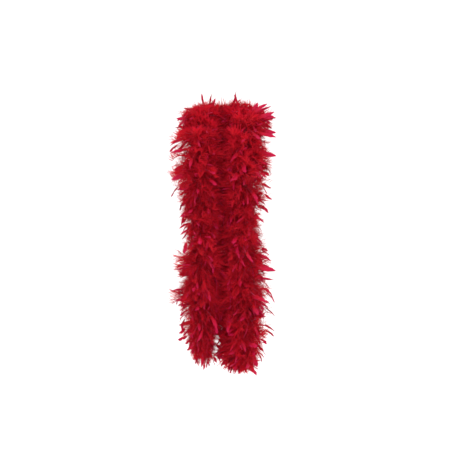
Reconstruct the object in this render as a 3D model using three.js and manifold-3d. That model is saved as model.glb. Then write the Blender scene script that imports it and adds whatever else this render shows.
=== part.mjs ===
// Feather boa as it is worn: round the nape, over both shoulders, and down in front as two tails.
// A twisted core cord runs from end to end. Down sleeves with whorls of plumes are stitched along it,
// and each end is whipped with thread and knotted.
// Millimetres, +Z up. The origin is the middle of the cord, at the nape. The wearer faces -Y.
import * as THREE from 'three';
import { mergeVertices } from 'three/addons/utils/BufferGeometryUtils.js';
import Module from 'manifold-3d';

const wasm = await Module();
wasm.setup();

// Core cord
const cordDiameter = 5;
const cordSides = 8;
const cordStep = 12;            // longest facet along the cord
const pivotGap = 0.4;           // between the round ends of two stretches of cord

// Plumes
const plumeReach = 68;          // from the cord's axis to a free plume's tip
const flareReach = 84;          // the same for plumes that stand out sideways over the shoulders
const plumeWidth = 15;
const plumeWidest = 0.58;       // share of the plume's length at which it is widest
const plumeThickness = 2.6;
const quillWidth = 3;
const plumeLean = 0.34;         // how far a plume leans towards the tail end, per unit of reach
const plumesPerWhorl = 7;
const whorlPitch = 34;          // aimed at; each cluster rounds it to whole whorls
const neckReach = 24;           // plumes pressed against the wearer's neck
const shoulderReach = 44;       // plumes pressed on the shoulders and the chest

// Down sleeve that carries the plumes
const sleeveWall = 3.6;
const sleeveClearance = 0.6;   // between the cord and the sleeve round it
const sleeveSides = 8;
const sleeveStep = 16;
const clusterGap = 0.4;         // between two sleeves on one stretch of cord
const middleGap = 2;            // between the two tails' plumes
const boreRadius = cordDiameter / 2 / Math.cos(Math.PI / sleeveSides) + sleeveClearance;

// Bends
const tailBend = 30;            // degrees, most that a tail bends at one place
const shoulderBend = 25;        // degrees, most that the front is lifted off the chest
const tipClearance = 1.5;       // between plumes that meet at a full bend

// Tails
const leftTail = 505;           // from the bust, where the boa leaves the chest, to the cord's end
const rightTail = 545;
const tailStretches = 5;

// Ends
const whipLength = 12;
const whipWall = 1.4;
const whipTurns = 6;
const knotDiameter = 9;
const knotHeight = 7.6;
const endGap = 0.3;

const plumeColours = [0xa81626, 0x9c1222, 0xb01a2c];
const cordColour = 0x7c0f1b;
const threadColour = 0x8e1220;

// The cord's route on the wearer's left, from the nape to the bust.
const halfCollar = [
  [0, 0, 0],
  [27, -5, -1],
  [49, -19, -6],
  [64, -42, -15],
  [69, -69, -27],
  [70, -97, -46],
  [70, -125, -78],
  [69.5, -149, -117],
  [69, -169, -160],
  [69, -181, -200],
  [69, -186, -240],
];
const shoulderPoint = 4;
const neckAxisY = -69;

const mirrored = ([x, y, z]) => [-x, y, z];
const bust = halfCollar.at(-1);

function tailPoints(side, length) {
  const points = [];
  for (let i = 1; i <= tailStretches; i += 1) {
    points.push([side * bust[0], bust[1], bust[2] - (length * i) / tailStretches]);
  }
  return points;
}

// Viewer's left is -X. The route runs from the right tail's end, over the nape, to the left one's.
const routePoints = [
  ...tailPoints(1, rightTail).reverse(),
  ...halfCollar.slice(1).reverse(),
  ...halfCollar.map(mirrored),
  ...tailPoints(-1, leftTail),
].map((p) => new THREE.Vector3(...p));
const route = new THREE.CatmullRomCurve3(routePoints, false, 'centripetal');
const samplesPerSpan = 60;
route.arcLengthDivisions = (routePoints.length - 1) * samplesPerSpan;
const lengths = route.getLengths();
const lengthAtPoint = (index) => lengths[index * samplesPerSpan];
const routeLength = lengths.at(-1);
const napeIndex = tailStretches + halfCollar.length - 1;

// A stretch of the route between two lengths along it.
class Stretch extends THREE.Curve {
  constructor(from, to) {
    super();
    this.from = from;
    this.to = to;
  }

  getPoint(t, target = new THREE.Vector3()) {
    const along = this.from + (this.to - this.from) * t;
    return route.getPointAt(THREE.MathUtils.clamp(along / routeLength, 0, 1), target);
  }
}

function solidOf(geometry) {
  const bare = geometry.clone();
  bare.deleteAttribute('normal');
  bare.deleteAttribute('uv');
  const merged = mergeVertices(bare, 1e-4);
  return new wasm.Manifold(new wasm.Mesh({
    numProp: 3,
    vertProperties: new Float32Array(merged.attributes.position.array),
    triVerts: new Uint32Array(merged.index.array),
  }));
}

function geometryOf(solid) {
  const mesh = solid.getMesh();
  const geometry = new THREE.BufferGeometry();
  geometry.setAttribute('position', new THREE.BufferAttribute(mesh.vertProperties, 3));
  geometry.setIndex(new THREE.BufferAttribute(mesh.triVerts, 1));
  geometry.computeVertexNormals();
  return geometry;
}

const cloth = (color, roughness = 0.85) => new THREE.MeshStandardMaterial({
  color,
  roughness,
  metalness: 0,
});

function named(name, geometry, material) {
  const mesh = new THREE.Mesh(geometry, material);
  mesh.name = name;
  return mesh;
}

function round(radius, sides) {
  const points = [];
  for (let i = 0; i < sides; i += 1) {
    const angle = (i / sides) * 2 * Math.PI;
    points.push(new THREE.Vector2(radius * Math.cos(angle), radius * Math.sin(angle)));
  }
  return points;
}

function swept(shape, from, to, step) {
  return new THREE.ExtrudeGeometry(shape, {
    extrudePath: new Stretch(from, to),
    steps: Math.max(2, Math.ceil(Math.abs(to - from) / step)),
  });
}

// One stretch of cord with round ends, so that two of them turn on each other at a pivot.
function cordStretch(from, to) {
  const radius = cordDiameter / 2;
  const setBack = radius + pivotGap / 2;
  const low = Math.min(from, to) + setBack;
  const high = Math.max(from, to) - setBack;
  let solid = solidOf(swept(new THREE.Shape(round(radius, cordSides)), low, high, cordStep));
  for (const along of [low, high]) {
    const ball = new THREE.SphereGeometry(radius, cordSides, 4);
    const centre = route.getPointAt(along / routeLength);
    ball.translate(centre.x, centre.y, centre.z);
    solid = solid.add(solidOf(ball));
  }
  return geometryOf(solid);
}

// A lance-shaped plume that points along +X, with its quill at the origin.
function plume(reach) {
  const profile = [
    [0, 0],
    [quillWidth / 2, 0],
    [plumeWidth / 2, plumeWidest * reach],
    [0, reach],
  ].map(([x, y]) => new THREE.Vector2(x, y));
  const blade = new THREE.LatheGeometry(profile, 4);
  blade.scale(1, 1, plumeThickness / plumeWidth);
  blade.rotateZ(-Math.PI / 2);
  return blade;
}

// Unit vectors at a length along the route: towards the tail's end, towards the wearer's neck or the
// other tail, and away from the wearer's body.
function frameAt(along, side) {
  const u = along / routeLength;
  const point = route.getPointAt(u);
  const onward = route.getTangentAt(u).multiplyScalar(side);
  const inward = new THREE.Vector3(-point.x, Math.min(0, neckAxisY - point.y), 0);
  if (inward.length() < 1) {
    inward.set(0, -1, 0);
  }
  inward.addScaledVector(onward, -inward.dot(onward)).normalize();
  const outward = new THREE.Vector3().crossVectors(onward, inward).multiplyScalar(side);
  return { point, onward, inward, outward };
}

// A cluster is a down sleeve round the cord, and the whorls of plumes that stand out of it. near and
// far are lengths along the route, near being on the nape's side. A bend at an end leaves a wedge free
// of plumes there. neck and body say how much the wearer's neck and body press the plumes, and flare
// how much they stand out at the wearer's side.
function cluster(near, far, options) {
  const { nearBend = 0, farBend = 0, farRoom = whorlPitch, neck = 0, body = 0, flare = 0 } = options;
  const side = far < near ? -1 : 1;
  const length = Math.abs(far - near);
  const outer = boreRadius + sleeveWall;
  const footRadius = boreRadius + sleeveWall / 2;
  const slope = (bend) => Math.tan(THREE.MathUtils.degToRad(bend) / 2);
  const longest = plumeReach + flare * (flareReach - plumeReach);
  const wedge = (bend) => longest * slope(bend) + tipClearance;
  const trim = (bend) => (bend ? outer * slope(bend) + tipClearance / 2 : clusterGap / 2);
  const start = near + side * trim(nearBend);
  const end = far - side * trim(farBend);
  const ring = new THREE.Shape(round(outer, sleeveSides));
  ring.holes.push(new THREE.Path(round(boreRadius, sleeveSides)));
  const solids = [solidOf(swept(ring, Math.min(start, end), Math.max(start, end), sleeveStep))];

  const lean = plumeLean * longest;
  const firstRoot = Math.max(nearBend ? wedge(nearBend) - lean : 0, trim(nearBend) + quillWidth);
  const lastRoot = length - (farBend ? wedge(farBend) + lean : farRoom);
  const whorls = Math.max(1, Math.round((lastRoot - firstRoot) / whorlPitch) + 1);
  const pitch = whorls > 1 ? (lastRoot - firstRoot) / (whorls - 1) : 0;
  for (let w = 0; w < whorls; w += 1) {
    const { point, onward, inward, outward } = frameAt(near + side * (firstRoot + w * pitch), side);
    for (let i = 0; i < plumesPerWhorl; i += 1) {
      const angle = ((i + (w % 2) / 2) / plumesPerWhorl) * 2 * Math.PI;
      const towards = inward.clone().multiplyScalar(Math.cos(angle));
      towards.addScaledVector(outward, Math.sin(angle));
      const neckPress = neck * Math.max(0, Math.cos(angle)) ** 2 * (plumeReach - neckReach);
      const bodyPress = body * Math.max(0, -Math.sin(angle)) ** 2 * (plumeReach - shoulderReach);
      const sideways = Math.sign(point.x) * towards.x;
      const flared = Math.max(0, sideways) ** 2 * (longest - plumeReach);
      const room = (Math.abs(point.x) - middleGap / 2) / Math.max(1e-6, -sideways);
      const reach = Math.min(plumeReach + flared - neckPress - bodyPress, neck ? longest : room);
      const axis = towards.clone().addScaledVector(onward, plumeLean).normalize();
      const across = new THREE.Vector3().crossVectors(onward, towards).normalize();
      const flat = new THREE.Vector3().crossVectors(axis, across);
      const blade = plume((reach - footRadius) * Math.hypot(1, plumeLean));
      blade.applyMatrix4(new THREE.Matrix4().makeBasis(axis, across, flat));
      const foot = point.clone().addScaledVector(towards, footRadius);
      blade.translate(foot.x, foot.y, foot.z);
      solids.push(solidOf(blade));
    }
  }
  return geometryOf(wasm.Manifold.union(solids));
}

// The thread whipping round the last of the cord.
function whipping(end, side) {
  const groove = boreRadius + 0.6 * whipWall;
  const turnHeight = whipLength / whipTurns;
  const profile = [[boreRadius, whipLength], [boreRadius, 0]];
  for (let i = 0; i < whipTurns; i += 1) {
    profile.push([groove, i * turnHeight]);
    profile.push([boreRadius + whipWall, (i + 0.5) * turnHeight]);
  }
  profile.push([groove, whipLength], [boreRadius, whipLength]);
  const thread = new THREE.LatheGeometry(profile.map(([x, y]) => new THREE.Vector2(x, y)), sleeveSides);
  thread.rotateX(Math.PI / 2);
  const { point } = frameAt(end, side);
  thread.translate(point.x, point.y, point.z + cordDiameter / 2 + endGap);
  return thread;
}

// The knot that the cord ends in.
function knot(end, side) {
  const ball = new THREE.SphereGeometry(knotDiameter / 2, 12, 8);
  ball.scale(1, 1, knotHeight / knotDiameter);
  const { point } = frameAt(end, side);
  ball.translate(point.x, point.y, point.z - knotHeight / 2 + pivotGap / 2 - endGap);
  return ball;
}

const boa = new THREE.Group();
const cordMaterial = cloth(cordColour, 0.7);
const threadMaterial = cloth(threadColour, 0.6);
const plumeMaterials = plumeColours.map((colour) => cloth(colour, 0.6));
let clusters = 0;

function addCluster(name, near, far, options) {
  boa.add(named(name, cluster(near, far, options), plumeMaterials[clusters % plumeMaterials.length]));
  clusters += 1;
}

const nape = lengthAtPoint(napeIndex);
const shoulderAlong = (side) => lengthAtPoint(napeIndex + side * shoulderPoint);
boa.add(named('core_nape', cordStretch(shoulderAlong(-1), shoulderAlong(1)), cordMaterial));

for (const [label, side, tail] of [['left', 1, leftTail], ['right', -1, rightTail]]) {
  const shoulder = shoulderAlong(side);
  const chest = lengthAtPoint(napeIndex + side * (halfCollar.length - 1));
  const middle = (nape + shoulder) / 2;
  addCluster(`plumes_nape_${label}`, nape, middle, { neck: 1, body: 0.4 });
  addCluster(`plumes_neck_${label}`, middle, shoulder, {
    farBend: shoulderBend,
    neck: 1,
    body: 0.8,
    flare: 1,
  });

  const collarbone = (shoulder + chest) / 2;
  boa.add(named(`core_shoulder_${label}`, cordStretch(shoulder, chest), cordMaterial));
  addCluster(`plumes_shoulder_${label}`, shoulder, collarbone, {
    nearBend: shoulderBend,
    neck: 1,
    body: 1,
    flare: 1,
  });
  addCluster(`plumes_chest_${label}`, collarbone, chest, { farBend: tailBend, body: 1, flare: 1 });

  for (let i = 0; i < tailStretches; i += 1) {
    const near = chest + side * (tail * i) / tailStretches;
    const far = chest + side * (tail * (i + 1)) / tailStretches;
    const last = i === tailStretches - 1;
    const whipped = whipLength + cordDiameter / 2 + 2 * endGap;
    const sleeveEnd = last ? far - side * whipped : far;
    boa.add(named(`core_${label}_${i + 1}`, cordStretch(near, far), cordMaterial));
    addCluster(`plumes_${label}_${i + 1}`, near, sleeveEnd, {
      nearBend: tailBend,
      farBend: last ? 0 : tailBend,
      farRoom: quillWidth,
    });
  }
  const end = chest + side * tail;
  boa.add(named(`whipping_${label}`, whipping(end, side), threadMaterial));
  boa.add(named(`knot_${label}`, knot(end, side), cordMaterial));
}

export default boa;
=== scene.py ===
# Feather boa hanging round an unseen neck: a two-ply cord, down, plumes, whipped and knotted ends.
import math
import random

import bmesh
import bpy
import numpy as np
from mathutils import Matrix, Vector, noise


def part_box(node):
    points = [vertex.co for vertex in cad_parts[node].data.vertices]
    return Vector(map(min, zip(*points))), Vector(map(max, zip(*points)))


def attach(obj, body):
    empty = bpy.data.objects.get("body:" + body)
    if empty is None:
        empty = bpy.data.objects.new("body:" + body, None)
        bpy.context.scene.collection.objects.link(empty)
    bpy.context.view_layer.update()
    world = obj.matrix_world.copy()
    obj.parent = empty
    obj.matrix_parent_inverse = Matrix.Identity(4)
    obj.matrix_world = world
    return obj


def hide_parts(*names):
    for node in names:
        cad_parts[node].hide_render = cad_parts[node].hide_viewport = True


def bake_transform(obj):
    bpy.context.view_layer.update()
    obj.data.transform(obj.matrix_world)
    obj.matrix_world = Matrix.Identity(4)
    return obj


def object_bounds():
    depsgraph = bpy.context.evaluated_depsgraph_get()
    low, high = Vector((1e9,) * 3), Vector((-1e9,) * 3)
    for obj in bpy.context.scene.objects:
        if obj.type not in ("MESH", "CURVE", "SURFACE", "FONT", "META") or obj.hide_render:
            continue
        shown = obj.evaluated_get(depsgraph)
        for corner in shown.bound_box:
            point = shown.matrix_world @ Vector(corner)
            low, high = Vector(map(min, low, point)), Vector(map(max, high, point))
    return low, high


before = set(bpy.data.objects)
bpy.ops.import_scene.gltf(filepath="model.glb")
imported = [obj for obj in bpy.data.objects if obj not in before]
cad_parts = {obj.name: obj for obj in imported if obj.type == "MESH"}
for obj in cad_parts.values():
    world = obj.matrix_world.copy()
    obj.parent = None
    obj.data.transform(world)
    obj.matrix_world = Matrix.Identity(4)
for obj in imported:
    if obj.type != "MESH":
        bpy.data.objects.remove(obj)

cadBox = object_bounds()
scene = bpy.context.scene
print("frame loaded", len(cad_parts), "nodes")


# --- route ---

route = {
    "halfCollar": [  # metres, from the nape over the wearer's left shoulder to the bust
        (0, 0, 0),
        (0.027, -0.005, -0.001),
        (0.049, -0.019, -0.006),
        (0.064, -0.042, -0.015),
        (0.069, -0.069, -0.027),
        (0.070, -0.097, -0.046),
        (0.070, -0.125, -0.078),
        (0.0695, -0.149, -0.117),
        (0.069, -0.169, -0.160),
        (0.069, -0.181, -0.200),
        (0.069, -0.186, -0.240),
    ],
    "shoulderPoint": 4,
    "stretches": 5,
    "leftTail": 0.505,
    "rightTail": 0.545,
    "neckAxisY": -0.069,
    "samples": 40,  # per span
}


def tailPoints(side, length):
    bust = route["halfCollar"][-1]
    parts = route["stretches"]
    return [(side * bust[0], bust[1], bust[2] - length * i / parts) for i in range(1, parts + 1)]


def smoothLine(points, samples):
    # centripetal Catmull-Rom, the same line as the cord's in CAD
    points = [np.array(p, float) for p in points]
    points = [2 * points[0] - points[1], *points, 2 * points[-1] - points[-2]]
    line = [points[1]]
    for a, b, c, d in zip(points, points[1:], points[2:], points[3:]):
        da, db, dc = (math.sqrt(np.linalg.norm(q - p)) for p, q in ((a, b), (b, c), (c, d)))
        m = ((b - a) / da - (c - a) / (da + db) + (c - b) / db) * db
        n = ((c - b) / db - (d - b) / (db + dc) + (d - c) / dc) * db
        for i in range(1, samples + 1):
            t = i / samples
            line.append(
                (2 * t**3 - 3 * t**2 + 1) * b
                + (t**3 - 2 * t**2 + t) * m
                + (3 * t**2 - 2 * t**3) * c
                + (t**3 - t**2) * n
            )
    return np.array(line)


collar = route["halfCollar"]
routePoints = [
    *reversed(tailPoints(1, route["rightTail"])),
    *reversed(collar[1:]),
    *[(-x, y, z) for x, y, z in collar],
    *tailPoints(-1, route["leftTail"]),
]
cordLine = smoothLine(routePoints, route["samples"])
steps = np.linalg.norm(np.diff(cordLine, axis=0), axis=1)
napeSample = (route["stretches"] + len(collar) - 1) * route["samples"]
lineLength = np.concatenate([[0], np.cumsum(steps)])
lineLength -= lineLength[napeSample]  # nape 0, left tail positive, right tail negative


def pointAt(along):
    return Vector([float(np.interp(along, lineLength, cordLine[:, k])) for k in range(3)])


def lengthAt(side, collarPoint):
    return float(lineLength[napeSample + side * collarPoint * route["samples"]])


def frameAt(along):
    # the cord's point, and unit vectors onward to the tail's end, inward to the neck or the other
    # tail, and outward from the wearer's body
    side = 1 if along > 0 else -1
    point = pointAt(along)
    onward = (pointAt(along + 0.002 * side) - pointAt(along - 0.002 * side)).normalized()
    inward = Vector((-point.x, min(0, route["neckAxisY"] - point.y), 0))
    if inward.length < 0.001:
        inward = Vector((0, -1, 0))
    inward = (inward - inward.dot(onward) * onward).normalized()
    outward = onward.cross(inward) * side
    return point, onward, inward, outward


shoulderAlong = {side: lengthAt(side, route["shoulderPoint"]) for side in (1, -1)}
bustAlong = {side: lengthAt(side, len(collar) - 1) for side in (1, -1)}
endAlong = {1: float(lineLength[-1]), -1: float(lineLength[0])}
print("cord", round(float(lineLength[-1] - lineLength[0]), 4), "m")


# --- camera ---

view = {"aim": (0.011, -0.17, -0.345), "distance": 3.35, "elevation": 8, "lens": 86}


def addCamera():
    data = bpy.data.cameras.new("camera")
    data.lens = view["lens"]
    data.sensor_width = 36
    cam = bpy.data.objects.new("camera", data)
    scene.collection.objects.link(cam)
    tilt = math.radians(view["elevation"])
    back = Vector((0, -math.cos(tilt), math.sin(tilt)))
    cam.location = Vector(view["aim"]) + back * view["distance"]
    cam.rotation_euler = (math.pi / 2 - tilt, 0, 0)
    scene.camera = cam


addCamera()


# --- materials ---

dyeLots = 12  # columns of the feather map: one shade of dye in each
bumpStrength = 0.5


def hexColour(code):
    parts = [int(code[i : i + 2], 16) / 255 for i in (0, 2, 4)]
    return (*[c / 12.92 if c <= 0.04045 else ((c + 0.055) / 1.055) ** 2.4 for c in parts], 1)


def addNode(tree, kind, settings=None, links=None):
    # settings by property or socket name; links as socket: output of another node
    node = tree.nodes.new(kind)
    for key, value in (settings or {}).items():
        if isinstance(key, int) or key in node.inputs:
            node.inputs[key].default_value = value
        else:
            setattr(node, key, value)
    for key, output in (links or {}).items():
        tree.links.new(output, node.inputs[key])
    return node


def mathNode(tree, operation, first, second=None):
    settings = {"operation": operation}
    if second is not None:
        settings[1] = second
    return addNode(tree, "ShaderNodeMath", settings, {0: first}).outputs[0]


def multiplied(tree, first, second):
    node = addNode(
        tree,
        "ShaderNodeMix",
        {"data_type": "RGBA", "blend_type": "MULTIPLY"},
        {6: first, 7: second},
    )
    node.inputs["Factor"].default_value = 1
    return node.outputs[2]


def bumpNode(tree, height, relief):
    settings = {"Strength": bumpStrength, "Distance": relief}
    return addNode(tree, "ShaderNodeBump", settings, {"Height": height}).outputs[0]


def setRamp(node, stops):
    ramp = node.color_ramp
    while len(ramp.elements) < len(stops):
        ramp.elements.new(0.5)
    for element, (at, code) in zip(ramp.elements, stops):
        element.position = at
        element.color = hexColour(code)


def newMaterial(name):
    mat = bpy.data.materials.new(name)
    mat.use_nodes = True
    mat.node_tree.nodes.clear()
    return mat, mat.node_tree


def mapParts(tree):
    # splits the feather map into dye lot, place across the feather, and place along it
    uv = addNode(tree, "ShaderNodeUVMap", {"uv_map": "OFBake"})
    parts = addNode(tree, "ShaderNodeSeparateXYZ", links={0: uv.outputs[0]})
    columns = mathNode(tree, "MULTIPLY", parts.outputs[0], dyeLots)
    lot = mathNode(tree, "DIVIDE", mathNode(tree, "FLOOR", columns), dyeLots)
    return lot, mathNode(tree, "FRACT", columns), parts.outputs[1]


def dyed(tree, along, lot, look):
    # colour along the feather, shaded by its dye lot
    low, high = look["colourSpan"]
    place = addNode(tree, "ShaderNodeMapRange", {1: low, 2: high}, {0: along})
    base = addNode(tree, "ShaderNodeValToRGB", links={0: place.outputs[0]})
    setRamp(base, look["stops"])
    shade = addNode(tree, "ShaderNodeValToRGB", links={0: lot})
    setRamp(shade, look["lots"])
    return multiplied(tree, base.outputs[0], shade.outputs[0])


def plainDye(tree, look):
    # for the parts that look the same right across
    lot, _, along = mapParts(tree)
    return dyed(tree, along, lot, look), along


def finishFeather(tree, colour, look, ribs):
    # thin keratin: some light comes through, so a translucent part is mixed in
    low, high = look["roughness"]
    rough = addNode(tree, "ShaderNodeMapRange", {3: high, 4: low}, {0: ribs})
    bump = bumpNode(tree, ribs, look["relief"])
    body = addNode(
        tree,
        "ShaderNodeBsdfPrincipled",
        {
            "IOR": 1.5,
            "Specular IOR Level": look["specular"],
            "Sheen Weight": look["sheen"],
            "Sheen Roughness": look["sheenRoughness"],
            "Sheen Tint": hexColour(look["sheenTint"]),
        },
        {"Base Color": colour, "Roughness": rough.outputs[0], "Normal": bump},
    )
    through = addNode(tree, "ShaderNodeBsdfTranslucent", links={"Color": colour, "Normal": bump})
    mixed = addNode(
        tree,
        "ShaderNodeMixShader",
        {0: look["through"]},
        {1: body.outputs[0], 2: through.outputs[0]},
    )
    addNode(tree, "ShaderNodeOutputMaterial", links={0: mixed.outputs[0]})


def ribPattern(tree, place, perUnit):
    # smooth ribs across the map, 0 in the furrows and 1 on the crests
    wave = mathNode(tree, "SINE", mathNode(tree, "MULTIPLY", place, 2 * math.pi * perUnit))
    return addNode(tree, "ShaderNodeMapRange", {1: -1, 2: 1}, {0: wave}).outputs[0]


def shadeRibs(tree, colour, ribs, depth):
    # painted shade: the colour is darkened by up to depth in the furrows of the ribs, where shade
    # would fall
    shade = addNode(tree, "ShaderNodeMapRange", {3: 1 - depth, 4: 1}, {0: ribs})
    return multiplied(tree, colour, shade.outputs[0])


def vaneMaterial():
    # dyed turkey vane, zipped barbs: satin, with a cool pink sheen where it catches light
    look = {
        "roughness": (0.36, 0.52),
        "relief": 0.0003,
        "specular": 0.1,
        "sheen": 0.12,
        "sheenRoughness": 0.35,
        "sheenTint": "FF5088",
        "through": 0.35,
        "stops": [(0, "B80E20"), (0.4, "BC1238"), (1, "C41E52")],
        "lots": [(0, "C8706C"), (0.35, "E89890"), (0.7, "E4BCC4"), (1, "F0D4DE")],
        "colourSpan": (0.5, 1.0),
        "barbLines": 46,  # real barbs lie 0.4 mm apart; drawn at about 0.9 mm so that they show
        "barbSlant": -0.35,
        "furrowPaintedShade": 0.18,
    }
    mat, tree = newMaterial("dyedTurkeyVane")
    lot, across, along = mapParts(tree)
    colour = dyed(tree, along, lot, look)
    outwards = mathNode(tree, "ABSOLUTE", mathNode(tree, "SUBTRACT", across, 0.5))
    slant = mathNode(tree, "MULTIPLY", outwards, look["barbSlant"])
    barb = addNode(tree, "ShaderNodeMath", {"operation": "ADD"}, {0: slant, 1: along})
    ribs = ribPattern(tree, barb.outputs[0], look["barbLines"] * 2)
    # painted shade in the furrows between the barbs
    finishFeather(tree, shadeRibs(tree, colour, ribs, look["furrowPaintedShade"]), look, ribs)
    return mat


def downMaterial():
    # dyed down, loose barbs with no hooks: matt and fuzzy, lighter towards the tips
    look = {
        "roughness": (0.66, 0.84),
        "relief": 0.0002,
        "barbules": 18,  # real barbules lie 0.05 mm apart; drawn at about 1.2 mm so that they show
        "mapLength": 0.36,  # of its band of the map
        "specular": 0.2,
        "sheen": 0.12,
        "sheenRoughness": 0.5,
        "sheenTint": "FF5068",
        "through": 0.5,
        "stops": [(0, "D81428"), (0.5, "E81832"), (1, "F02044")],
        "lots": [(0, "C8B8B8"), (0.5, "FFFFFF"), (1, "DCC8C8")],
        "colourSpan": (0.06, 0.44),
        "furrowPaintedShade": 0.12,
    }
    mat, tree = newMaterial("dyedTurkeyDown")
    colour, along = plainDye(tree, look)
    ribs = ribPattern(tree, along, look["barbules"] / look["mapLength"])
    # painted shade in the furrows between the barbules
    finishFeather(tree, shadeRibs(tree, colour, ribs, look["furrowPaintedShade"]), look, ribs)
    return mat


def shaftMaterial():
    # feather shaft, solid keratin that takes less dye: pale pink and glossy
    look = {
        "roughness": (0.26, 0.4),
        "relief": 0.0001,
        "rings": 14,  # faint growth rings, 5 mm apart
        "mapLength": 0.037,  # of its band of the map
        "specular": 0.5,
        "sheen": 0.0,
        "sheenRoughness": 0.5,
        "sheenTint": "FFFFFF",
        "through": 0.15,
        "stops": [(0, "A8243C"), (0.5, "D04A6C"), (1, "C83058")],
        "lots": [(0, "D8C0C0"), (0.5, "FFFFFF"), (1, "F0D8E0")],
        "colourSpan": (0.005, 0.05),
        "furrowPaintedShade": 0.08,
    }
    mat, tree = newMaterial("dyedKeratinShaft")
    colour, along = plainDye(tree, look)
    ribs = ribPattern(tree, along, look["rings"] / look["mapLength"])
    # painted shade in the furrows between the growth rings
    finishFeather(tree, shadeRibs(tree, colour, ribs, look["furrowPaintedShade"]), look, ribs)
    return mat


def cordMaterial():
    # cotton string spun from fibres: matt, with painted shade in the grooves between its fibres
    mat, tree = newMaterial("spunCottonCord")
    place = addNode(tree, "ShaderNodeTexCoord")
    fibres = addNode(
        tree,
        "ShaderNodeTexNoise",
        {"Scale": 900, "Detail": 3},
        {0: place.outputs["Object"]},
    )
    # painted shade: the colour follows the bump's noise, darker where it is low, in the grooves
    colour = addNode(tree, "ShaderNodeValToRGB", links={0: fibres.outputs[0]})
    setRamp(colour, [(0.3, "5C0A12"), (0.7, "8C141E")])
    bump = bumpNode(tree, fibres.outputs[0], 0.0003)
    body = addNode(
        tree,
        "ShaderNodeBsdfPrincipled",
        {"Roughness": 0.85, "IOR": 1.5, "Sheen Weight": 0.3},
        {"Base Color": colour.outputs[0], "Normal": bump},
    )
    addNode(tree, "ShaderNodeOutputMaterial", links={0: body.outputs[0]})
    return mat


def threadMaterial():
    # waxed polyester binding thread: tight turns with a soft gleam
    mat, tree = newMaterial("waxedBindingThread")
    place = addNode(tree, "ShaderNodeTexCoord")
    twist = addNode(
        tree,
        "ShaderNodeTexNoise",
        {"Scale": 1500, "Detail": 2},
        {0: place.outputs["Object"]},
    )
    colour = addNode(tree, "ShaderNodeValToRGB", links={0: twist.outputs[0]})
    setRamp(colour, [(0.3, "7A101C"), (0.7, "A01C2A")])
    body = addNode(
        tree,
        "ShaderNodeBsdfPrincipled",
        {"Roughness": 0.45, "IOR": 1.54},
        {"Base Color": colour.outputs[0]},
    )
    addNode(tree, "ShaderNodeOutputMaterial", links={0: body.outputs[0]})
    return mat


featherMaterials = [vaneMaterial(), downMaterial(), shaftMaterial()]
vaneSlot, downSlot, shaftSlot = range(3)
cordMat = cordMaterial()
threadMat = threadMaterial()
print("materials made")


# --- feather shapes ---

def smoothStep(x, low, high):
    t = min(1, max(0, (x - low) / (high - low)))
    return t * t * (3 - 2 * t)


# each material's own stretch of the map, and the margins of a dye lot's column
mapBands = {vaneSlot: (0.51, 0.99), downSlot: (0.07, 0.43), shaftSlot: (0.008, 0.045)}
columnMargin, columnWidth = 0.06, 0.88


def setMap(faces, layers, band):
    # the first dye lot's column; a copy moves to its own column when it is placed
    low, high = mapBands[band]
    for face in faces:
        face.material_index = band
        face.smooth = True
        for loop in face.loops:
            across, along = loop.vert[layers["across"]], loop.vert[layers["along"]]
            column = (columnMargin + columnWidth * across) / dyeLots
            loop[layers["uv"]].uv = (column, low + (high - low) * along)


def newFeather():
    bm = bmesh.new()
    layers = {
        "uv": bm.loops.layers.uv.new("OFBake"),
        "along": bm.verts.layers.float.new("along"),
        "across": bm.verts.layers.float.new("across"),
    }
    return bm, layers


def strip(bm, layers, band, columns, rows, shape):
    # a grid whose points are put by shape(across 0 to 1, along 0 to 1)
    made = bmesh.ops.create_grid(bm, x_segments=columns, y_segments=rows, size=0.5)["verts"]
    for v in made:
        across, along = v.co.x + 0.5, v.co.y + 0.5
        v[layers["across"]], v[layers["along"]] = across, along
        v.co = shape(across, along)
    setMap({f for v in made for f in v.link_faces}, layers, band)


def shaftPoint(look, t):
    # starts along +Y, curls towards -Z and sways towards +X
    length, curl = look["length"], look["curl"]
    turn = curl * t
    return Vector((
        look["sway"] * length * t * t,
        length * math.sin(turn) / curl,
        length * (math.cos(turn) - 1) / curl,
    ))


vaneColumns = 4


def addVane(bm, layers, look, rng):
    # barbs that hold together: a cupped blade with a blunt, ragged end
    start, rows = look["vaneStart"], look["vaneRows"]
    edgeCut, innerCut = (0.10, 0.30), (0, 0.14)
    cuts = {
        0: rng.uniform(*edgeCut),
        1: rng.uniform(*innerCut),
        2: 0,
        3: rng.uniform(*innerCut),
        4: rng.uniform(*edgeCut),
    }
    ripple = {
        (c, r): rng.gauss(0, look["ripple"])
        for c in range(vaneColumns + 1)
        for r in range(rows + 1)
    }
    skew = rng.uniform(-0.2, 0.2)
    # rows where each edge is split; past the last row: none
    split = {0: rng.randint(2, rows + 3), vaneColumns: rng.randint(2, rows + 3)}

    def shape(across, along):
        column, row = round(across * vaneColumns), round(along * rows)
        reach = along * (1 - cuts[column])
        wide = look["width"] * smoothStep(reach, -0.35, 0.35)
        wide *= 1 - (1 - look["tipWidth"]) * smoothStep(reach, 0.45, 1.0)
        away = (column - 2) / 2
        edge = away * wide / 2 * (1 + skew * math.copysign(1, away))
        if split.get(column) == row:
            edge *= look["splitDepth"]
        place = shaftPoint(look, start + (1 - start) * reach)
        lift = look["cup"] * abs(edge) + ripple[column, row]
        twist = look["twist"] * reach
        return place + Vector((
            edge * math.cos(twist) - lift * math.sin(twist),
            0,
            edge * math.sin(twist) + lift * math.cos(twist),
        ))

    strip(bm, layers, vaneSlot, vaneColumns, rows, shape)


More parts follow.
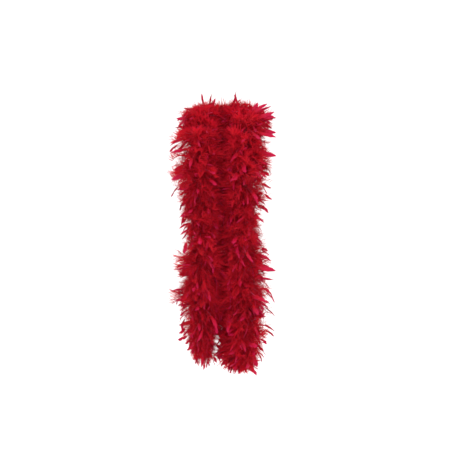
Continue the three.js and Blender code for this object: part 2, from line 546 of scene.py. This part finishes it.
def addShaft(bm, layers, look):
    # a three-sided tube that thins towards the tip
    sides, rows, end = 3, look["shaftRows"], look["shaftEnd"]
    ring = bmesh.ops.create_circle(bm, segments=sides, radius=look["shaftRadius"])["verts"]
    bmesh.ops.rotate(bm, verts=ring, cent=(0, 0, 0), matrix=Matrix.Rotation(math.pi / 2, 3, "X"))
    edges = list({e for v in ring for e in v.link_edges})
    for i, v in enumerate(ring):
        v[layers["across"]] = i / sides
    faces, before, thick = [], Vector(), 1
    for row in range(1, rows + 1):
        t = end * row / rows
        here, thinner = shaftPoint(look, t), 1 - 0.8 * t
        grown = bmesh.ops.extrude_edge_only(bm, edges=edges)["geom"]
        verts = [g for g in grown if isinstance(g, bmesh.types.BMVert)]
        edges = [g for g in grown if isinstance(g, bmesh.types.BMEdge)]
        faces += [g for g in grown if isinstance(g, bmesh.types.BMFace)]
        bmesh.ops.translate(bm, verts=verts, vec=here - before)
        scale = (thinner / thick,) * 3
        bmesh.ops.scale(bm, verts=verts, vec=scale, space=Matrix.Translation(-here))
        for v in verts:
            v[layers["along"]] = row / rows
        before, thick = here, thinner
    setMap(faces, layers, shaftSlot)


barbRows = 2


def addBarb(bm, layers, root, direction, droop, length, width):
    sideways = direction.cross(Vector((0, 0, 1))).normalized()

    def shape(across, along):
        place = root + direction * length * along + droop * length * along * along
        return place + sideways * (across - 0.5) * width * (1 - 0.8 * along)

    strip(bm, layers, downSlot, 1, barbRows, shape)


def addDown(bm, layers, look, rng, low, high, count):
    # loose barbs on both sides of the shaft, leaning towards its tip
    for i in range(count):
        t = low + (high - low) * (i + 0.5) / count
        lean = math.radians(look["barbAngle"] * (1.15 - 0.5 * t) + rng.uniform(-12, 12))
        which = -1 if i % 2 else 1
        out = Vector((math.sin(lean) * which, math.cos(lean), rng.uniform(-0.45, 0.45)))
        droop = Vector((rng.uniform(-0.15, 0.15), 0.25, rng.uniform(-0.45, 0.15)))
        length = rng.uniform(*look["barbLength"]) * (1.15 - 0.6 * t)
        addBarb(bm, layers, shaftPoint(look, t), out.normalized(), droop, length, look["barbWidth"])


def asShape(bm, name, tip):
    # turned so that the tip lies on +Y; the distance to it goes along with the mesh
    turn = tip.rotation_difference(Vector((0, 1, 0))).to_matrix()
    bmesh.ops.rotate(bm, verts=bm.verts, cent=(0, 0, 0), matrix=turn)
    mesh = bpy.data.meshes.new(name)
    bm.to_mesh(mesh)
    bm.free()
    for mat in featherMaterials:
        mesh.materials.append(mat)
    return mesh, tip.length


def makePlume(number, look, rng):
    # a turkey body plume: down on its lower part and a vane above
    bm, layers = newFeather()
    addVane(bm, layers, look, rng)
    addShaft(bm, layers, look)
    addDown(bm, layers, look, rng, 0.12, look["vaneStart"] + 0.1, look["barbs"])
    return asShape(bm, f"plumeShape{number}", shaftPoint(look, 1))


def makeDownPlume(number, look, rng):
    # a plume that is downy to its tip
    bm, layers = newFeather()
    addShaft(bm, layers, look)
    addDown(bm, layers, look, rng, 0.15, 1.0, look["barbs"])
    return asShape(bm, f"downPlumeShape{number}", shaftPoint(look, 1.2))


plume = {
    "kinds": 24,
    "reach": (0.056, 0.088),
    "spread": 0.38,
    "sag": 0.28,
    "ranges": {
        "length": (0.072, 0.078),
        "width": (0.007, 0.015),
        "tipWidth": (0.3, 0.95),
        "curl": (0.3, 1.9),
        "sway": (-0.3, 0.3),
        "twist": (-1.3, 1.3),
        "vaneStart": (0.56, 0.72),
        "cup": (-0.8, 0.8),
    },
    "fixed": {
        "vaneRows": 5,
        "splitDepth": 0.6,
        "ripple": 0.0006,
        "shaftRadius": 0.0009,
        "shaftRows": 4,
        "shaftEnd": 0.96,
        "barbs": 12,
        "barbAngle": 50,
        "barbLength": (0.016, 0.024),
        "barbWidth": 0.0014,
    },
}
longPlume = {  # the few that stand out: more vane, and down nearly as far as it
    **plume,
    "kinds": 10,
    "ranges": {
        **plume["ranges"],
        "width": (0.007, 0.013),
        "curl": (0.7, 1.9),
        "vaneStart": (0.34, 0.46),
    },
    "fixed": {**plume["fixed"], "vaneRows": 6, "barbs": 16},
}
downPlume = {
    "kinds": 16,
    "reach": (0.048, 0.075),
    "spread": 0.25,
    "sag": 0.0,
    "ranges": {"length": (0.056, 0.060), "curl": (0.6, 1.9), "sway": (-0.3, 0.3)},
    "fixed": {
        "shaftRadius": 0.0006,
        "shaftRows": 3,
        "shaftEnd": 1.0,
        "barbs": 24,
        "barbAngle": 44,
        "barbLength": (0.016, 0.025),
        "barbWidth": 0.0021,
    },
}
sideName = {1: "left", -1: "right"}
bunch = {  # feathers caught together between the cord's plies
    "perMetre": 1120,
    "downPlumes": (4, 5, 6, 6, 8),
    "plumes": (0, 1, 1, 1, 2, 2),
    "towardsMiddle": 0.6,  # share turned to the other tail
    "groove": (-0.6, 0.6),  # mean and spread of their angle; below 0 they lie behind the front
    "droop": (0.55, 0.55),  # mean and spread
    "endDroop": 1.2,
    "turn": 0.45,  # spread of the way a bunch faces
    "featherTurn": 0.25,  # and of each of its feathers
    "rootOut": 0.002,
    "reach": (0.82, 1.12),
    "lumps": 0.2,
    "inner": 0.3,
    "fullest": 1.36,
    "taper": {1: 0.15, -1: 0.06},  # the stretch over which each end narrows
    "narrow": {1: 0.36, -1: 0.12},  # and by how much
}
outline = {  # how full the boa is at the wearer's sides, by depth below the nape
    "depth": (0.02, 0.13, 0.25, 0.30, 0.38, 0.47, 0.60, 0.75),
    "left": (1.08, 1.32, 1.02, 0.84, 0.70, 1.16, 1.14, 0.86),
    "right": (1.20, 1.22, 0.98, 0.72, 0.76, 1.18, 1.18, 0.90),
}


def shapesOf(make, look, seed):
    rng = random.Random(seed)
    shapes = []
    for number in range(look["kinds"]):
        drawn = {key: rng.uniform(*span) for key, span in look["ranges"].items()}
        shapes.append(make(number, {**look["fixed"], **drawn}, rng))
    return shapes


plumeShapes = shapesOf(makePlume, plume, 11)
longPlumeShapes = shapesOf(makePlume, longPlume, 14)
downPlumeShapes = shapesOf(makeDownPlume, downPlume, 12)
faces = [len(mesh.polygons) for mesh, tip in (*plumeShapes, *longPlumeShapes, *downPlumeShapes)]
print("feather shapes", len(faces), "faces", min(faces), "to", max(faces))


# --- placing feathers ---

room = {
    "neckRadius": 0.042,
    "neckFoot": -0.075,  # height below which the throat is open to feathers
    "middle": 0.04,  # how far tips cross over to the other tail, at the back
    "grooveSide": -0.026,  # and at the front, where a groove is left between the tails
    "grooveWander": 0.016,
    "grooveWaves": 22,
    "grooveDepths": (-0.03, 0.005),  # from the cord, where a tip passes from front to back
    "meet": 0.03,  # past the shoulder point, where the two halves start to meet in front
    "body": 0.042,  # reach towards the wearer's shoulders and chest
    "free": 0.075,
    "bustBlend": 0.05,
    "crown": -0.013,  # height of the tips behind the neck
    "crownWander": 0.012,
    "crownWaves": 30,
    "aboveCrown": 0.3,  # share kept of what stands above it
    "shoulderRise": 0.009,  # how much higher they stand over the shoulders
    "riseSpan": (0.02, 0.065),  # sideways from the nape
    "shoulderFall": 0.03,  # and how much lower again at the sides
    "fallSpan": (0.075, 0.13),
    "stretch": 1.12,  # how much a feather turned aside may lengthen
    "softEdge": 0.006,
    "barbsProud": 0.008,
    "proud": (0.014, 0.004, 0.014),  # how far a tip may stand out of the CAD box
}
reachBox = (
    [low - proud for low, proud in zip(cadBox[0], room["proud"])],
    [high + proud for high, proud in zip(cadBox[1], room["proud"])],
)


def clearOf(root, tip, along):
    # a tip that meets the neck, the wearer's body or the other tail turns aside
    side = 1 if along > 0 else -1
    point, onward, inward, outward = frameAt(along)
    length = (tip - root).length
    neck = Vector((tip.x, tip.y - route["neckAxisY"], 0))
    if neck.length < room["neckRadius"] and tip.z > room["neckFoot"]:
        tip = tip + neck.normalized() * (room["neckRadius"] - neck.length)
    past = along * side
    shoulder, bust = shoulderAlong[side] * side, bustAlong[side] * side
    if past > shoulder + room["meet"]:
        behind = smoothStep(tip.y - point.y, *room["grooveDepths"])
        wander = noise.noise(Vector((0, 0, tip.z * room["grooveWaves"])))
        front = room["grooveSide"] + room["grooveWander"] * wander
        middle = front + (room["middle"] - front) * behind
        tip.x -= side * max(0, tip.x * side - middle)
    hanging = smoothStep(past, bust - room["bustBlend"], bust + room["bustBlend"])
    resting = smoothStep(past, 0.02, shoulder) * (1 - hanging)
    limit = room["free"] + (room["body"] - room["free"]) * resting
    tip = tip + outward * max(0, -(tip - point).dot(outward) - limit)
    crown = room["crown"] + room["shoulderRise"] * smoothStep(abs(tip.x), *room["riseSpan"])
    crown -= room["shoulderFall"] * smoothStep(abs(tip.x), *room["fallSpan"])
    crown += room["crownWander"] * noise.noise(root * room["crownWaves"])
    if tip.z > crown:
        tip.z = crown + (tip.z - crown) * room["aboveCrown"]
    turned = tip - root
    tip = root + turned.normalized() * min(length, turned.length * room["stretch"])
    lowest, highest = reachBox
    return Vector([min(high, max(low, value)) for low, value, high in zip(lowest, tip, highest)])


def addCopy(bm, shape, root, tip, facing, lot):
    mesh, length = shape
    axis = (tip - root).normalized()
    across = axis.cross(facing).normalized()
    turn = Matrix((across, axis, across.cross(axis))).transposed().to_4x4()
    copy = mesh.copy()
    copy.transform(Matrix.Translation(root) @ turn @ Matrix.Scale((tip - root).length / length, 4))
    uv = copy.uv_layers["OFBake"].uv
    values = np.empty(len(uv) * 2, np.float32)
    uv.foreach_get("vector", values)
    values[0::2] += lot / dyeLots
    uv.foreach_set("vector", values)
    bm.from_mesh(copy)
    bpy.data.meshes.remove(copy)


def lumps(along, angle):
    # slow changes of fullness along and round the boa
    return noise.noise(Vector((along * 14, 1.3 * math.cos(angle), 1.3 * math.sin(angle)))) * 2


def anyWay(rng, spread):
    return Vector((rng.gauss(0, spread), rng.gauss(0, spread), rng.gauss(0, spread)))


def drawPlace(rng, low, high):
    # a place on the cord, and the way a feather hangs from it
    along, angle = rng.uniform(low, high), rng.uniform(0, 2 * math.pi)
    point, onward, inward, outward = frameAt(along)
    if point.z < room["neckFoot"] + 0.03 and rng.random() < bunch["towardsMiddle"]:
        angle = rng.gauss(*bunch["groove"])
    radial = inward * math.cos(angle) + outward * math.sin(angle)
    down = (onward * 0.6 + Vector((0, 0, -0.7))).normalized()
    side = 1 if along > 0 else -1
    nearEnd = 1 - smoothStep(abs(endAlong[side] - along), 0.01, bunch["taper"][side])
    droop = rng.gauss(*bunch["droop"]) + bunch["endDroop"] * nearEnd
    aim = (radial + down * droop).normalized()
    facing = radial * 0.5 - down * 0.7 + anyWay(rng, bunch["turn"])
    inner = smoothStep(aim.x * side, 0.2, 0.9) * smoothStep(-point.z, 0.03, 0.10)
    outer = smoothStep(-aim.x * side, 0.1, 0.8)
    share = float(np.interp(-point.z, outline["depth"], outline[sideName[side]]))
    full = 1 + bunch["lumps"] * lumps(along, angle)
    full *= 1 + bunch["inner"] * inner
    full *= 1 + (share - 1) * outer
    full = min(full, bunch["fullest"]) * (1 - bunch["narrow"][side] * nearEnd)
    return along, point, aim, facing, full


strays = {  # long plumes that stand out of the rest: tip's x and z, and how far to the front
    "left": [
        (-0.034, 0.060, 0.02),
        (-0.022, 0.046, 0.02),
        (-0.040, 0.040, 0.00),
        (-0.030, 0.042, 0.03),
        (-0.066, 0.062, 0.01),
        (-0.122, 0.016, 0.02),
        (-0.145, -0.016, 0.01),
        (-0.150, -0.045, 0.02),
        (-0.167, -0.104, 0.01),
        (-0.160, -0.118, 0.03),
        (-0.158, -0.200, 0.01),
        (-0.140, -0.226, 0.02),
        (-0.136, -0.318, 0.02),
        (-0.134, -0.352, 0.00),
        (-0.130, -0.368, 0.02),
        (-0.150, -0.478, 0.02),
        (-0.162, -0.545, 0.01),
        (-0.150, -0.570, 0.03),
        (-0.135, -0.655, 0.01),
        (-0.128, -0.690, 0.02),
        (-0.112, -0.735, 0.01),
    ],
    "right": [
        (0.044, 0.072, 0.02),
        (0.036, 0.058, 0.00),
        (0.056, 0.042, 0.02),
        (0.048, 0.050, 0.03),
        (0.112, 0.034, 0.01),
        (0.140, 0.030, 0.02),
        (0.154, 0.022, 0.00),
        (0.162, 0.004, 0.02),
        (0.168, -0.014, 0.01),
        (0.160, -0.034, 0.02),
        (0.168, -0.060, 0.01),
        (0.167, -0.072, 0.03),
        (0.166, -0.128, 0.02),
        (0.150, -0.156, 0.03),
        (0.128, -0.330, 0.02),
        (0.150, -0.452, 0.01),
        (0.164, -0.478, 0.02),
        (0.160, -0.508, 0.02),
        (0.142, -0.600, 0.01),
        (0.124, -0.700, 0.03),
        (0.130, -0.735, 0.02),
        (0.126, -0.765, 0.01),
    ],
    "rise": 0.022,  # the root is this much higher than the tip where the tail hangs
    "inwards": 0.75,  # over the shoulders the root lies at this share of the tip's x
}


def strayRoot(side, x, z):
    shoulder = shoulderAlong[side]
    if z > collar[route["shoulderPoint"]][2]:
        # over the neck and shoulders, from the cord's nearest point
        places = np.linspace(shoulder * 0.35, shoulder + side * 0.01, 20)
        return float(min(places, key=lambda a: abs(pointAt(a).x - x * strays["inwards"])))
    rootZ = z + strays["rise"]
    places = np.linspace(shoulder, endAlong[side] - side * 0.004, 400)
    return float(min(places, key=lambda a: abs(pointAt(a).z - rootZ)))


def addStrays(bm, low, high, rng):
    placed = 0
    for side, name in sideName.items():
        for x, z, front in strays[name]:
            along = strayRoot(side, x, z)
            if not min(low, high) <= along < max(low, high):
                continue
            point = pointAt(along)
            tip = Vector((x, point.y - front, z))
            facing = Vector((rng.gauss(0, 0.4), -1, rng.gauss(0.3, 0.4)))
            shape = rng.choice(longPlumeShapes)
            addCopy(bm, shape, point, tip, facing, rng.randrange(dyeLots))
            placed += 1
    return placed


def holdInside(mesh):
    # no barb stands further out of the CAD box than fabric may
    values = np.empty(len(mesh.vertices) * 3, np.float32)
    mesh.vertices.foreach_get("co", values)
    places = values.reshape(-1, 3)
    soft = room["softEdge"]
    for k in range(3):
        low, high = cadBox[0][k], cadBox[1][k]
        spare = 0.03 * (high - low) + room["barbsProud"] - soft
        over = np.maximum(places[:, k] - (high + spare), 0)
        under = np.maximum((low - spare) - places[:, k], 0)
        places[:, k] += soft * (1 - np.exp(-over / soft)) - over
        places[:, k] -= soft * (1 - np.exp(-under / soft)) - under
    mesh.vertices.foreach_set("co", places.ravel())


def feathersBetween(name, low, high, seed):
    rng = random.Random(seed)
    bm = bmesh.new()
    length, placed = abs(high - low), 0
    for _ in range(round(length * bunch["perMetre"])):
        along, point, aim, facing, full = drawPlace(rng, low, high)
        full *= rng.uniform(*bunch["reach"])
        for look, shapes, count in (
            (plume, plumeShapes, rng.choice(bunch["plumes"])),
            (downPlume, downPlumeShapes, rng.choice(bunch["downPlumes"])),
        ):
            for _ in range(count):
                way = aim + anyWay(rng, look["spread"]) + Vector((0, 0, -look["sag"]))
                way.normalize()
                root = point + way * bunch["rootOut"]
                tip = clearOf(root, root + way * rng.uniform(*look["reach"]) * full, along)
                shape = rng.choice(shapes)
                turned = facing + anyWay(rng, bunch["featherTurn"])
                addCopy(bm, shape, root, tip, turned, rng.randrange(dyeLots))
            placed += count
    placed += addStrays(bm, low, high, rng)
    print(name, placed, "feathers", len(bm.faces), "faces")
    mesh = bpy.data.meshes.new(name)
    bm.to_mesh(mesh)
    bm.free()
    holdInside(mesh)
    for mat in featherMaterials:
        mesh.materials.append(mat)
    obj = bpy.data.objects.new(name, mesh)
    scene.collection.objects.link(obj)
    return obj


# --- cord ---

cord = {
    "diameter": 0.005,
    "plyDiameter": 0.0027,
    "pitch": 0.016,
    "samplesPerTurn": 10,
}


def tubeMesh(name, lines, radius, resolution=1):
    curve = bpy.data.curves.new(name, "CURVE")
    curve.dimensions = "3D"
    curve.bevel_depth = radius
    curve.bevel_resolution = resolution
    curve.use_fill_caps = True
    for line in lines:
        spline = curve.splines.new("POLY")
        spline.points.add(len(line) - 1)
        spline.points.foreach_set("co", [c for p in line for c in (*p, 1)])
    holder = bpy.data.objects.new(name, curve)
    scene.collection.objects.link(holder)
    mesh = bpy.data.meshes.new_from_object(holder)
    bpy.data.objects.remove(holder)
    bpy.data.curves.remove(curve)
    mesh.name = name
    obj = bpy.data.objects.new(name, mesh)
    scene.collection.objects.link(obj)
    return obj


def cordBetween(name, low, high):
    count = max(8, round(abs(high - low) / cord["pitch"] * cord["samplesPerTurn"]))
    places = np.linspace(low, high, count)
    lines = []
    for ply in (0, 1):
        line = []
        for along in places:
            point, onward, inward, outward = frameAt(along)
            turn = 2 * math.pi * along / cord["pitch"] + math.pi * ply
            offset = (cord["diameter"] - cord["plyDiameter"]) / 2
            line.append(point + (inward * math.cos(turn) + outward * math.sin(turn)) * offset)
        lines.append(line)
    obj = tubeMesh(name, lines, cord["plyDiameter"] / 2)
    obj.data.materials.clear()
    obj.data.materials.append(cordMat)
    path = [list(pointAt(a)) for a in np.linspace(low, high, max(15, count // 4))]
    return obj, path


# --- ends ---

endLook = {
    "threadRadius": 0.0005,
    "turns": 9,
    "samplesPerTurn": 16,
    "padSides": 16,
    "padInner": 0.9,  # of the cord's radius
    "padEnd": 0.94,  # where its rounded ends start
    "knotCord": 0.0015,
    "knotSamples": 90,
}


def lathe(name, profile, centre, steps):
    # a closed profile of points (radius, height), clockwise, turned round the vertical; a spin
    # would leave its faces in another order in each run
    bm = bmesh.new()
    rings = []
    for radius, height in profile:
        ring = bmesh.ops.create_circle(bm, segments=steps, radius=radius)["verts"]
        bmesh.ops.translate(bm, verts=ring, vec=centre + Vector((0, 0, height)))
        rings.append(ring)
    for upper, lower in zip(rings, rings[1:] + rings[:1]):
        for i in range(steps):
            corners = (upper[i - 1], lower[i - 1], lower[i], upper[i])
            bm.faces.new(corners).smooth = True
    mesh = bpy.data.meshes.new(name)
    bm.to_mesh(mesh)
    bm.free()
    return mesh


def nodePlace(node):
    # the middle of its CAD box, and the box's size
    low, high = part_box(node)
    return (Vector(low) + Vector(high)) / 2, Vector(high) - Vector(low)


def boundWhipping(side):
    # turns of thread over the cord's end, with a padded layer under them
    centre, size = nodePlace(f"whipping_{side}")
    radius = min(size.x, size.y) / 2 - endLook["threadRadius"]
    half = size.z / 2 - endLook["threadRadius"]
    count = endLook["turns"] * endLook["samplesPerTurn"]
    line = []
    for i in range(count + 1):
        turn = 2 * math.pi * endLook["turns"] * i / count
        height = half - 2 * half * i / count
        line.append(centre + Vector((radius * math.cos(turn), radius * math.sin(turn), height)))
    obj = tubeMesh(f"threadWhipping_{side}", [line], endLook["threadRadius"])
    inner, corner = cord["diameter"] / 2 * endLook["padInner"], half * endLook["padEnd"]
    profile = [(inner, half), (radius, corner), (radius, -corner), (inner, -half)]
    pad = lathe("pad", profile, centre, endLook["padSides"])
    bm = bmesh.new()
    bm.from_mesh(obj.data)
    bm.from_mesh(pad)
    bm.to_mesh(obj.data)
    bm.free()
    bpy.data.meshes.remove(pad)
    obj.data.materials.clear()
    obj.data.materials.append(threadMat)
    return obj


def tiedKnot(side):
    # an overhand knot pulled tight
    centre, size = nodePlace(f"knot_{side}")
    thick = endLook["knotCord"]
    reach = min(size.x, size.y) / 2 - thick
    high = size.z / 2 - thick
    line = []
    for i in range(endLook["knotSamples"] + 1):  # a trefoil, flattened
        t = 2 * math.pi * i / endLook["knotSamples"]
        x = (math.sin(t) + 2 * math.sin(2 * t)) / 3 * reach
        y = (math.cos(t) - 2 * math.cos(2 * t)) / 3 * reach
        line.append(centre + Vector((x, y, -math.sin(3 * t) * high)))
    obj = tubeMesh(f"overhandKnot_{side}", [line], thick, 2)
    obj.data.materials.clear()
    obj.data.materials.append(cordMat)
    return obj


# --- pieces, and the bodies that the nape and end pieces are attached to ---

blendHalf = {"shoulder": 0.05, "tail": 0.045}  # the distance on each side of its pivot at which carry works out a start and an end point


def jointPoint(side, number):
    # the pivot between tail stretches; number 0 is at the bust
    length = (endAlong[side] - bustAlong[side]) / route["stretches"]
    return bustAlong[side] + length * number


def midOf(side, body):
    if body == "nape":
        return shoulderAlong[side] / 2
    if body == "shoulder":
        return (shoulderAlong[side] + bustAlong[side]) / 2
    return (jointPoint(side, body - 1) + jointPoint(side, body)) / 2


def spans(side):
    # (name, from, to, upper body, lower body, pivot) from the nape down
    name = sideName[side]
    nape, shoulder, first = midOf(side, "nape"), midOf(side, "shoulder"), midOf(side, 1)
    onShoulder, tail = f"shoulder_{name}", f"tail_{name}_"
    yield f"neck_{name}", nape, shoulder, "nape", onShoulder, shoulderAlong[side]
    yield f"chest_{name}", shoulder, first, onShoulder, tail + "1", bustAlong[side]
    for i in range(1, route["stretches"]):
        low, high = midOf(side, i), midOf(side, i + 1)
        yield tail + f"{i}", low, high, tail + f"{i}", tail + f"{i + 1}", jointPoint(side, i)


def carry(obj, upper, lower, pivot, kind):
    point, onward, inward, outward = frameAt(pivot)
    half = blendHalf[kind]
    if kind == "tail":
        onward = Vector((0, 0, -1))
    start, end = point - onward * half, point + onward * half
    tuple(start)
    tuple(end)
    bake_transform(obj)


def declareCord(path, low, high):
    tuple(path[0])


def buildNape():
    low, high = -midOf(1, "nape"), midOf(1, "nape")
    core, path = cordBetween("cord_nape", low, high)
    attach(core, "nape")
    declareCord(path, low, high)
    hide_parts("core_nape")
    plumes = feathersBetween("feathers_nape", low, high, 1)
    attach(plumes, "nape")
    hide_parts("plumes_nape_left", "plumes_nape_right")


stands = {  # the CAD nodes that each span stands for
    "neck": (["core_shoulder_{}"], ["plumes_neck_{}", "plumes_shoulder_{}"]),
    "chest": (["core_{}_1"], ["plumes_chest_{}", "plumes_{}_1"]),
    "tail_1": (["core_{}_2"], ["plumes_{}_2"]),
    "tail_2": (["core_{}_3"], ["plumes_{}_3"]),
    "tail_3": (["core_{}_4"], ["plumes_{}_4"]),
    "tail_4": (["core_{}_5"], []),
    "end": ([], ["plumes_{}_5"]),
}


def replaceNodes(kind, name):
    coreNodes, plumeNodes = stands[kind]
    if coreNodes:
        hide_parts(*[n.format(name) for n in coreNodes])
    if plumeNodes:
        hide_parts(*[n.format(name) for n in plumeNodes])


def buildSide(side):
    name = sideName[side]
    for number, (piece, low, high, upper, lower, pivot) in enumerate(spans(side)):
        kind = "shoulder" if upper == "nape" else "tail"
        core, path = cordBetween(f"cord_{piece}", low, high)
        carry(core, upper, lower, pivot, kind)
        declareCord(path, low, high)
        seed = 10 + 20 * side + number
        plumes = feathersBetween(f"feathers_{piece}", low, high, seed)
        carry(plumes, upper, lower, pivot, kind)
        replaceNodes(piece.replace(f"_{name}", ""), name)
    body = f"tail_{name}_{route['stretches']}"
    low, high = midOf(side, route["stretches"]), endAlong[side]
    whipping, knot = boundWhipping(name), tiedKnot(name)
    for obj, slot, node in ((whipping, "thread", "whipping"), (knot, "cord", "knot")):
        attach(obj, body)
        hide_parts(f"{node}_{name}")
    core, path = cordBetween(f"cord_end_{name}", low, high)
    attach(core, body)
    declareCord(path, low, high)
    plumes = feathersBetween(f"feathers_end_{name}", low, high, 60 + side)
    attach(plumes, body)
    replaceNodes("end", name)
    print("side made", name)


buildNape()
buildSide(1)
buildSide(-1)
for mesh, tip in (*plumeShapes, *longPlumeShapes, *downPlumeShapes):
    bpy.data.meshes.remove(mesh)


# --- floor and light ---

studio = {
    "floor": -1.35,
    "floorHalf": 12,
    "lampAim": (0, -0.16, -0.33),
    "world": ("FFFFFF", 1.2),
    "lamps": [  # name, place, size, watts
        ("keyLamp", (-1.2, -2.8, 0.9), 2.0, 50),
        ("fillLamp", (1.6, -2.6, 0.2), 2.0, 43),
        ("topLamp", (0.0, -0.3, 2.0), 1.4, 16),
    ],
}


def addFloor():
    bm = bmesh.new()
    bmesh.ops.create_grid(bm, x_segments=1, y_segments=1, size=studio["floorHalf"])
    bmesh.ops.translate(bm, verts=bm.verts, vec=(0, 0, studio["floor"]))
    mesh = bpy.data.meshes.new("studioFloor")
    bm.to_mesh(mesh)
    bm.free()
    mat, tree = newMaterial("matteWhitePaint")
    settings = {"Base Color": hexColour("FCFCFC"), "Roughness": 0.9}
    body = addNode(tree, "ShaderNodeBsdfPrincipled", settings)
    addNode(tree, "ShaderNodeOutputMaterial", links={0: body.outputs[0]})
    mesh.materials.append(mat)
    obj = bpy.data.objects.new("studioFloor", mesh)
    scene.collection.objects.link(obj)


def addLamps():
    aim = Vector(studio["lampAim"])
    for name, place, size, watts in studio["lamps"]:
        data = bpy.data.lights.new(name, "AREA")
        data.shape = "DISK"
        data.size = size
        data.energy = watts
        lamp = bpy.data.objects.new(name, data)
        scene.collection.objects.link(lamp)
        lamp.location = place
        lamp.rotation_euler = (aim - Vector(place)).to_track_quat("-Z", "Y").to_euler()


def setWorld():
    code, strength = studio["world"]
    world = bpy.data.worlds.new("studioWorld")
    world.use_nodes = True
    background = world.node_tree.nodes["Background"]
    background.inputs["Color"].default_value = hexColour(code)
    background.inputs["Strength"].default_value = strength
    scene.world = world
    scene.view_settings.view_transform = "Standard"


addFloor()
addLamps()
setWorld()
print("studio made")
